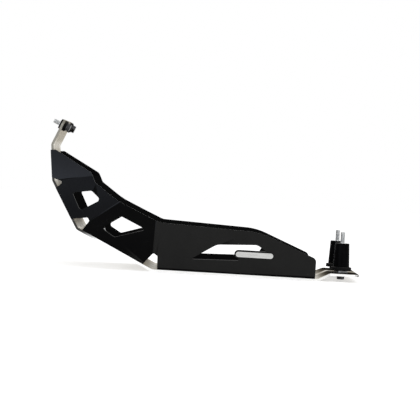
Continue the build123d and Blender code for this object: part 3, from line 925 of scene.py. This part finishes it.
def painted_rim_highlight(made):
    """Mask of a painted highlight on the panels' cut edges: faces turned away from the sides, above the
    flanges.
    """
    tree = made.tree
    over_slope = made.above(Seat(SLOPE, FLAT_ANGLES[SLOPE], 0.0, 0.0))
    above = math_node(tree, "MINIMUM", made.at("Z"), over_slope)
    cut = remaining(tree, smooth_step(tree, made.facing("Y"), *PANEL_CUT_FACES))
    return times(tree, cut, smooth_step(tree, above, *ABOVE_FLANGES))


def black_coat():
    """Fine-textured black powder coat with a little dust on upward faces and faint hairlines. Its cut edges
    carry a painted highlight, its straight outer walls a painted grey sheen and its leaning ones a painted
    bluish reflection."""
    made = Finish("black_powder_coat")
    tree = made.tree
    coat = made.group(COAT, size=0.0009)
    mottle = made.group(MOTTLE, size=0.06)
    dust = made.dust(amount=0.10)
    scratch = made.group(HAIRLINES, amount=0.10)["Scratch"]
    # Painted sheen on the straight walls and painted bluish reflection on the leaning walls.
    wall_sheen, wall_reflection = painted_wall_sheens(made, mottle["Patch"])
    speckled = times(tree, coat["Speck"], 0.3)
    # Painted highlight on the panels' cut edges.
    rubbed = times(tree, painted_rim_highlight(made), 0.8)
    made.drive(Base_Color=layered(
        tree, mixed(tree, mottle["Patch"], COAT_DEEP, COAT_PALE), (speckled, COAT_SPECK), (wall_sheen, COAT_PAINTED_SHEEN),
        (wall_reflection, COAT_PAINTED_REFLECTION), (scratch, COAT_SCRATCHED), (rubbed, COAT_RIM_HIGHLIGHT), (dust, COAT_DUSTY)))
    made.set(Metallic=0.0, Specular_IOR_Level=0.025)
    dulled = math_node(tree, "ADD", times(tree, dust, 0.35), times(tree, wall_sheen, 0.2))
    made.drive(Roughness=math_node(tree, "ADD", between(tree, mottle["Patch"], *COAT_ROUGHNESS), dulled))
    made.bump(coat["Height"], distance=0.00008, strength=0.22)
    return made.material


def painted_badge_edge_shade(made):
    """Mask of painted shade round the badge's edge, in place of the dark reflection on its rounded rim: the
    distance from the middle line of its round-ended face, past a limit.
    """
    tree = made.tree
    middle, along, rise, _ = badge_frame()
    straight = (BADGE_LENGTH - BADGE_HEIGHT) / 2 * MM
    limit = (BADGE_HEIGHT / 2 - BADGE_SHADE_WIDTH) * MM
    offset = vector_node(tree, "SUBTRACT", made.place, middle * MM).outputs[0]
    run = math_node(tree, "ABSOLUTE", reach_along(tree, offset, along))
    past_end = math_node(tree, "MAXIMUM", math_node(tree, "SUBTRACT", run, straight), 0.0)
    lift = reach_along(tree, offset, rise)
    square = math_node(tree, "ADD", times(tree, past_end, past_end), times(tree, lift, lift))
    away = math_node(tree, "SQRT", square)
    return smooth_step(tree, away, limit - SHADE_LINE_BLUR, limit + SHADE_LINE_BLUR)


def badge_finish():
    """Brushed bare aluminium, pale and satin, with lines along the badge and painted dark shade round its
    edge.
    """
    made = Finish("brushed_badge")
    tree = made.tree
    grain = made.group(GRAIN, fineness=5200.0)
    mottle = made.group(MOTTLE, size=0.012)
    flecked = times(tree, mottle["Fleck"], 0.2)
    made.drive(Base_Color=layered(
        tree, mixed(tree, grain["Streak"], BADGE_GREY, BADGE_PALE), (flecked, BADGE_FLECKED),
        (painted_badge_edge_shade(made), BADGE_EDGE_SHADE)))
    made.set(Metallic=1.0)
    made.drive(Roughness=between(tree, grain["Grain"], *BADGE_ROUGHNESS))
    made.bump(grain["Grain"], distance=0.00004, strength=0.4)
    return made.material


def moulded_rubber():
    """Matt black rubber with a fine skin, greyed by dust on top."""
    made = Finish("moulded_rubber")
    tree = made.tree
    coat = made.group(COAT, size=0.0007)
    mottle = made.group(MOTTLE, size=0.014)
    made.drive(Base_Color=layered(
        tree, mixed(tree, mottle["Patch"], RUBBER_DEEP, RUBBER_PALE), (made.dust(amount=0.35), RUBBER_DUSTY)))
    made.set(Metallic=0.0, Specular_IOR_Level=0.08)
    made.drive(Roughness=between(tree, mottle["Patch"], *RUBBER_ROUGHNESS))
    made.bump(coat["Height"], distance=0.00012, strength=0.3)
    return made.material


def spacer_paint():
    """Satin black paint on turned steel: a slight peel, faint rubbed patches and dust on top."""
    made = Finish("satin_spacer_paint")
    tree = made.tree
    coat = made.group(COAT, size=0.0022)
    mottle = made.group(MOTTLE, size=0.011)
    rubbed = times(tree, mottle["Fleck"], 0.3)
    made.drive(Base_Color=layered(
        tree, mixed(tree, mottle["Patch"], PAINT_DEEP, PAINT_PALE), (rubbed, PAINT_RUBBED),
        (made.dust(amount=0.3), PAINT_DUSTY)))
    made.set(Metallic=0.0, Specular_IOR_Level=0.014)
    made.drive(Roughness=between(tree, mottle["Patch"], *PAINT_ROUGHNESS))
    made.bump(coat["Height"], distance=0.00006, strength=0.25)
    return made.material


def plated_steel(name, blackened=None):
    """Zinc-plated steel: cool grey, clouded, with small dull flecks. Where a mask is given, it is blackened
    there, with a little bare metal left in the flecks; the mask gives a blackened head on a bolt and painted
    shade on the bush under a pad. The mask is made from the finish."""
    made = Finish(name)
    tree = made.tree
    mottle = made.group(MOTTLE, size=0.006)
    grain = made.group(COAT, size=0.0006)
    flecked = times(tree, mottle["Fleck"], 0.5)
    face = layered(tree, mixed(tree, mottle["Patch"], ZINC_GREY, ZINC_PALE), (flecked, ZINC_FLECKED))
    if blackened:
        worn = times(tree, mottle["Fleck"], 0.4)
        black = layered(tree, mixed(tree, mottle["Patch"], BLACK_DEEP, BLACK_PALE), (worn, BLACK_WORN))
        face = mixed(tree, blackened(made), face, black)
    made.drive(Base_Color=face)
    made.set(Metallic=1.0)
    made.drive(Roughness=between(tree, mottle["Patch"], *PLATING_ROUGHNESS))
    made.bump(grain["Height"], distance=0.00003, strength=0.2)
    return made.material


def beyond(seat, level, way):
    """Mask of what lies past a level above a seat: 1 where the place is further along the seat's normal, or
    further against it where the way is -1."""
    def mask(made):
        past = math_node(made.tree, "SUBTRACT", made.above(seat), level * MM)
        return smooth_step(made.tree, times(made.tree, past, way), *HEAD_LINE)

    return mask


def shaded_under_pad(made):
    """Mask of uneven painted shade all over, for a part in the shadow of a rubber pad."""
    uneven = noise(made.tree, made.place, scale=240.0, detail=3.0, roughness=0.6)
    return between(made.tree, uneven, *PAD_SHADE_DEPTH)


SHEET = bare_sheet()
PANEL_COAT = black_coat()
BADGE_METAL = badge_finish()
RUBBER = moulded_rubber()
SPACER_PAINT = spacer_paint()
ZINC = plated_steel("zinc_plating")
PAD_SHADED_ZINC = plated_steel("pad_shaded_plating", shaded_under_pad)
REAR_HEADS = plated_steel("rear_black_heads", beyond(rear_seat(1), 0.0, -1.0))
FRONT_HEADS = plated_steel(
    "front_black_heads", beyond(front_seat(1), PLATE_THICKNESS + INNER_RUBBER_THICKNESS, 1.0))


# Pieces in their places.

def finish_sheet(node, material, edge):
    """Finish on a folded sheet node, its cut edges eased by a narrow rounded bevel."""
    node.data.materials.clear()
    node.data.materials.append(material)
    weld = node.modifiers.new("merge_faces", "WELD")
    weld.merge_threshold = MERGE_REACH
    bevel = node.modifiers.new("eased_edges", "BEVEL")
    bevel.width = edge
    bevel.segments = 2
    bevel.limit_method = "ANGLE"
    bevel.angle_limit = math.radians(CUT_EDGE_ANGLE)
    bevel.harden_normals = True


def fit(seat, node, points, height, material, ring=True, flip=False):
    """One fixing on its seat, raised by a height, in place of its node."""
    solid = solid_of(seat.place(lifted(points, height), flip), ring)
    piece(f"{node}_finished", [solid], material, node)


def fit_rear_mount(side, name):
    """Bolt, washer, bush, pad and spacer of one rear mount."""
    seat = rear_seat(side)
    below = -REAR_WASHER_THICKNESS
    pad_foot = PLATE_THICKNESS + REAR_BUSH_HEIGHT
    spacer_foot = pad_foot + REAR_PAD_HEIGHT
    grip = REAR_WASHER_THICKNESS + spacer_foot + REAR_SPACER_HEIGHT
    bolt = hex_bolt(grip, REAR_STUD_LENGTH)
    washer = rounded_ring(REAR_WASHER_RADIUS, REAR_WASHER_RADIUS, REAR_WASHER_THICKNESS, WASHER_SQUARENESS)
    bush = rounded_ring(REAR_WASHER_RADIUS, REAR_WASHER_RADIUS, REAR_BUSH_HEIGHT, BUSH_SQUARENESS)
    pad = rounded_ring(REAR_PAD_RADIUS, REAR_PAD_RADIUS, REAR_PAD_HEIGHT, PAD_SQUARENESS)
    spacer = rounded_ring(
        REAR_SPACER_FOOT_RADIUS, REAR_SPACER_TOP_RADIUS, REAR_SPACER_HEIGHT, SPACER_SQUARENESS)
    fit(seat, f"{name}_rear_bolt", bolt, below, REAR_HEADS, ring=False)
    fit(seat, f"{name}_rear_washer", washer, below, REAR_HEADS)
    # The bush sits under the pad and is darkened all over with painted shade.
    fit(seat, f"{name}_rear_bush", bush, PLATE_THICKNESS, PAD_SHADED_ZINC)
    fit(seat, f"{name}_rear_rubber_pad", pad, pad_foot, RUBBER)
    fit(seat, f"{name}_rear_spacer", spacer, spacer_foot, SPACER_PAINT)


def fit_front_mount(side, name):
    """Bolt with its head inside, washer and two rubbers of one front mount."""
    seat = front_seat(side)
    washer_seat = PLATE_THICKNESS + INNER_RUBBER_THICKNESS
    head_seat = washer_seat + FRONT_WASHER_THICKNESS
    outer_foot = -OUTER_RUBBER_THICKNESS
    bolt = hex_bolt(head_seat + OUTER_RUBBER_THICKNESS, FRONT_PIN_LENGTH)
    washer = rounded_ring(FRONT_WASHER_RADIUS, FRONT_WASHER_RADIUS, FRONT_WASHER_THICKNESS, WASHER_SQUARENESS)
    inner = rounded_ring(INNER_RUBBER_RADIUS, INNER_RUBBER_RADIUS, INNER_RUBBER_THICKNESS, RUBBER_SQUARENESS)
    outer = rounded_ring(OUTER_RUBBER_RADIUS, OUTER_RUBBER_RADIUS, OUTER_RUBBER_THICKNESS, RUBBER_SQUARENESS)
    fit(seat, f"{name}_front_bolt", bolt, -head_seat, FRONT_HEADS, ring=False, flip=True)
    fit(seat, f"{name}_front_washer", washer, washer_seat, FRONT_HEADS)
    fit(seat, f"{name}_front_inner_rubber", inner, PLATE_THICKNESS, RUBBER)
    fit(seat, f"{name}_front_outer_rubber", outer, outer_foot, RUBBER)


def fit_flange_screws(side, name):
    """Screws and nuts along the flanges of one side."""
    nut_seat = PLATE_THICKNESS + PANEL_THICKNESS
    seats = screw_seats(side)
    screws = [solid_of(seat.place(countersunk_screw())) for seat in seats]
    nuts = [solid_of(seat.place(lifted(flange_nut(), nut_seat)), True) for seat in seats]
    for node, solids in ((f"{name}_flange_screws", screws), (f"{name}_flange_nuts", nuts)):
        piece(f"{node}_finished", solids, ZINC, node, FINE_SHARP_ANGLE)


def fit_badge():
    """Bare badge on the left wall."""
    solid = solid_of(place_badge(badge_surface()))
    piece("badge_plate_finished", [solid], BADGE_METAL, "badge_plate")


# Studio and camera.

def seen_strength(tree, plain, seen):
    """Strength that is plain for lighting, and seen for camera, glossy and transmission rays."""
    path = tree.nodes.new("ShaderNodeLightPath").outputs
    looks = [path["Is Camera Ray"], path["Is Glossy Ray"], path["Is Transmission Ray"]]
    return between(tree, combined(tree, "MAXIMUM", looks), plain, seen)


def studio_world():
    """World that looks white."""
    world = bpy.data.worlds.new("white_studio")
    bpy.context.scene.world = world
    world.use_nodes = True
    background = world.node_tree.nodes["Background"].inputs
    background["Color"].default_value = WHITE
    world.node_tree.links.new(seen_strength(world.node_tree, WORLD_LIGHT, WORLD_SEEN), background["Strength"])
    bpy.context.scene.view_settings.view_transform = "Standard"


def studio_floor():
    """Pale floor that looks white and keeps the shadow."""
    mesh = bpy.data.meshes.new("studio_floor")
    corners = np.array([[-1, -1, 0], [1, -1, 0], [1, 1, 0], [-1, 1, 0]]) * FLOOR_REACH
    mesh.from_pydata(corners.tolist(), [], [(0, 1, 2, 3)])
    floor = bpy.data.objects.new("studio_floor", mesh)
    bpy.context.scene.collection.objects.link(floor)
    paint = Finish("studio_floor_paint")
    paint.set(Base_Color=FLOOR_PALE, Roughness=0.9, Specular_IOR_Level=0.0, Emission_Color=WHITE)
    paint.drive(Emission_Strength=seen_strength(paint.tree, 0.0, FLOOR_GLOW))
    mesh.materials.append(paint.material)


def lamp(name, place, target, size, power, tint):
    """Soft rectangular lamp that faces a target."""
    data = bpy.data.lights.new(name, "AREA")
    data.shape = "RECTANGLE"
    data.size, data.size_y = size
    data.energy = power
    data.color = tint
    made = bpy.data.objects.new(name, data)
    made.location = place
    made.rotation_euler = (Vector(target) - Vector(place)).to_track_quat("-Z", "Y").to_euler()
    bpy.context.scene.collection.objects.link(made)


def studio_lamps():
    """Three soft lamps at a plain level: a cool one at the left front, one at the right, one overhead."""
    lamp("left_front_lamp", place=(-1.78, -2.85, 0.82), target=(-0.25, -0.1, 0.18), size=(2.4, 1.8),
         power=34.0, tint=(0.88, 0.93, 1.0))
    lamp("right_front_lamp", place=(1.9, -2.8, 0.9), target=(0.1, -0.12, 0.05), size=(2.0, 1.4),
         power=16.0, tint=(1.0, 0.99, 0.97))
    lamp("overhead_lamp", place=(0.3, 0.5, 2.8), target=(0.0, 0.0, 0.1), size=(3.2, 3.2),
         power=26.0, tint=(1.0, 1.0, 1.0))


def photo_camera():
    """Camera whose level direction across the plate meets the image at a vanishing pixel, a little rolled."""
    right = Vector((math.cos(ROLL), 0, math.sin(ROLL)))
    up = Vector((-math.sin(ROLL), 0, math.cos(ROLL)))
    across = (FRAME_PIXELS / 2 - VANISHING_PIXEL[0]) / FOCAL_PIXELS
    down = (FRAME_PIXELS / 2 - VANISHING_PIXEL[1]) / FOCAL_PIXELS
    forward = (Vector((0, 1, 0)) + across * right - down * up).normalized()
    side = forward.cross(up).normalized()
    top = side.cross(forward)
    data = bpy.data.cameras.new("photo_camera")
    data.sensor_width = SENSOR
    data.lens = FOCAL_PIXELS * SENSOR / FRAME_PIXELS
    data.clip_end = 50
    made = bpy.data.objects.new("photo_camera", data)
    made.matrix_world = Matrix.Translation(EYE) @ Matrix((side, top, -forward)).transposed().to_4x4()
    bpy.context.scene.collection.objects.link(made)
    bpy.context.scene.camera = made


finish_sheet(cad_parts["base_plate"], SHEET, PLATE_EDGE)
finish_sheet(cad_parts["left_side_panel"], PANEL_COAT, PANEL_EDGE)
finish_sheet(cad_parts["right_side_panel"], PANEL_COAT, PANEL_EDGE)
for side, name in ((-1, "left"), (1, "right")):
    fit_rear_mount(side, name)
    fit_front_mount(side, name)
    fit_flange_screws(side, name)
fit_badge()
studio_world()
studio_floor()
studio_lamps()
photo_camera()

bpy.context.view_layer.update()
